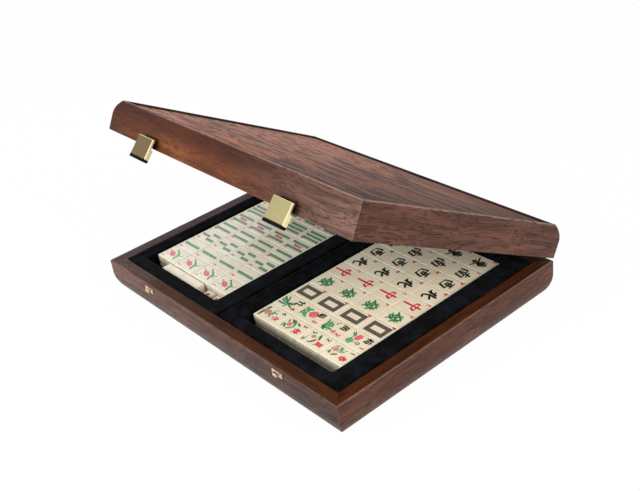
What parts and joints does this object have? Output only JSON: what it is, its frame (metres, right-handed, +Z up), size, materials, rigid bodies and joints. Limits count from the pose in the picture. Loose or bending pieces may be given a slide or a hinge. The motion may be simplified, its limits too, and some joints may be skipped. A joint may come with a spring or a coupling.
{
  "type": "boxed mahjong set",
  "caption": "Mahjong tiles stacked in velvet trays inside a shallow hinged wooden case with sprung brass clasps.",
  "frame": {"origin": "centre of the case's flat underside", "axes": "+X right along the case's front, +Y towards the hinges, +Z up"},
  "size_m": [0.3318, 0.2691, 0.1797],
  "materials": {
    "tile_resin": "polished cream resin",
    "dice_resin": "polished ivory-white resin",
    "black_velvet": "short black pile",
    "figured_veneer": "satin lacquer over figured veneer",
    "base_board": "plain satin board",
    "walnut": "satin lacquer, open grain",
    "blackened_steel": "blackened, semi-gloss",
    "spring_steel": "bright spring steel",
    "pin_steel": "drawn wire",
    "brass": "polished and lacquered"
  },
  "bodies": {
    "base": {"base_back_rail": "walnut", "base_bottom_panel": "base_board", "base_front_rail": "walnut", "base_left_rail": "walnut", "base_right_rail": "walnut", "character_tiles": "tile_resin", "circle_tiles": "tile_resin", "dice": "dice_resin", "hinge_base_leaves": "brass", "hinge_base_screws": "brass", "hinge_pins": "pin_steel", "keeper_screws": "brass", "keepers": "brass", "left_tray": "black_velvet", "right_tray": "black_velvet", "spare_tiles": "tile_resin"},
    "lid": {"lid_front_rail": "walnut", "lid_back_rail": "walnut", "lid_left_rail": "walnut", "lid_right_rail": "walnut", "lid_top_panel": "figured_veneer", "lid_lining": "black_velvet", "hinge_lid_leaves": "brass", "hinge_lid_screws": "brass", "clasp_brackets": "brass", "clasp_screws": "brass", "clasp_springs": "spring_steel", "clasp_pins": "pin_steel"},
    "left_clasp": {"left_clasp_cover": "brass", "left_clasp_latch": "blackened_steel"},
    "right_clasp": {"right_clasp_cover": "brass", "right_clasp_latch": "blackened_steel"},
    "left_top_tiles": {"bamboo_one": "tile_resin", "bamboo_two": "tile_resin", "bamboo_three": "tile_resin", "bamboo_four": "tile_resin", "bamboo_five": "tile_resin", "bamboo_six": "tile_resin", "bamboo_seven": "tile_resin", "bamboo_eight": "tile_resin", "bamboo_nine": "tile_resin"},
    "right_top_tiles": {"flowers": "tile_resin", "seasons": "tile_resin", "white_dragons": "tile_resin", "green_dragons": "tile_resin", "red_dragons": "tile_resin", "north_winds": "tile_resin", "west_winds": "tile_resin", "south_winds": "tile_resin", "east_winds": "tile_resin"}
  },
  "joints": [
    {"name": "lid_hinge", "type": "hinge", "parent": "base", "child": "lid", "pos_m": [0, 0.1304, 0.03065], "axis": [-1, 0, 0], "range_deg": [-29.3, 75.7]},
    {"name": "left_clasp_hinge", "type": "hinge", "parent": "lid", "child": "left_clasp", "pos_m": [-0.0948, -0.09396, 0.16418], "axis": [-1, 0, 0], "range_deg": [-13.7, 35], "stiffness_Nm_per_rad": 0.05},
    {"name": "right_clasp_hinge", "type": "hinge", "parent": "lid", "child": "right_clasp", "pos_m": [0.0948, -0.09396, 0.16418], "axis": [-1, 0, 0], "range_deg": [-13.7, 35], "stiffness_Nm_per_rad": 0.05},
    {"name": "left_tiles_lift", "type": "slide", "parent": "base", "child": "left_top_tiles", "axis": [0, 0, 1], "range_m": [0, 0.02]},
    {"name": "right_tiles_lift", "type": "slide", "parent": "base", "child": "right_top_tiles", "axis": [0, 0, 1], "range_m": [0, 0.02]}
  ]
}
